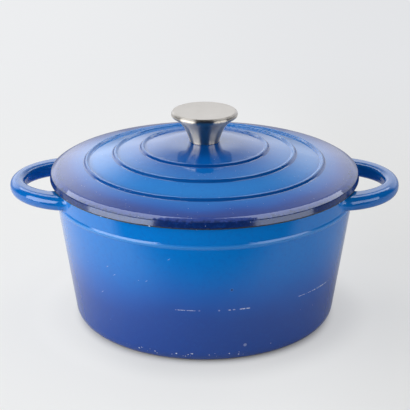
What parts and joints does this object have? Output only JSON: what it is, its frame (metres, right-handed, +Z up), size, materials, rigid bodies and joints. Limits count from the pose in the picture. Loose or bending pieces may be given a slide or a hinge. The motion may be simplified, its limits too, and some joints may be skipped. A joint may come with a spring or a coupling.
{
  "type": "round casserole",
  "caption": "Deep round enamelled cast-iron casserole with loop handles and a domed, ringed lid that lifts off by a hollow steel knob screwed through its middle.",
  "frame": {"origin": "centre of the base, on the surface that the pot stands on", "axes": "+Z up through the knob, +X from the pot's middle to one handle, +Y away from the picture's camera"},
  "size_m": [0.3404, 0.2696, 0.1864],
  "materials": {
    "pot_enamel": "gloss vitreous enamel shaded from bright blue at the rim to indigo at the base",
    "lid_enamel": "gloss vitreous enamel shaded from bright blue in the middle to violet at the edge",
    "knob_polished": "mirror-polished stainless steel",
    "knob_brushed": "satin brushed stainless steel",
    "fastener_steel": "plain stainless steel"
  },
  "bodies": {
    "pot": {"pot": "pot_enamel"},
    "lid": {"lid": "lid_enamel", "knob_shell": "knob_polished", "knob_disc": "knob_brushed", "knob_insert": "fastener_steel", "knob_screw": "fastener_steel", "spring_washer": "fastener_steel", "flat_washer": "fastener_steel"}
  },
  "joints": [
    {"name": "lid_lift", "type": "slide", "parent": "pot", "child": "lid", "axis": [0, 0, 1], "range_m": [0, 0.15]}
  ]
}
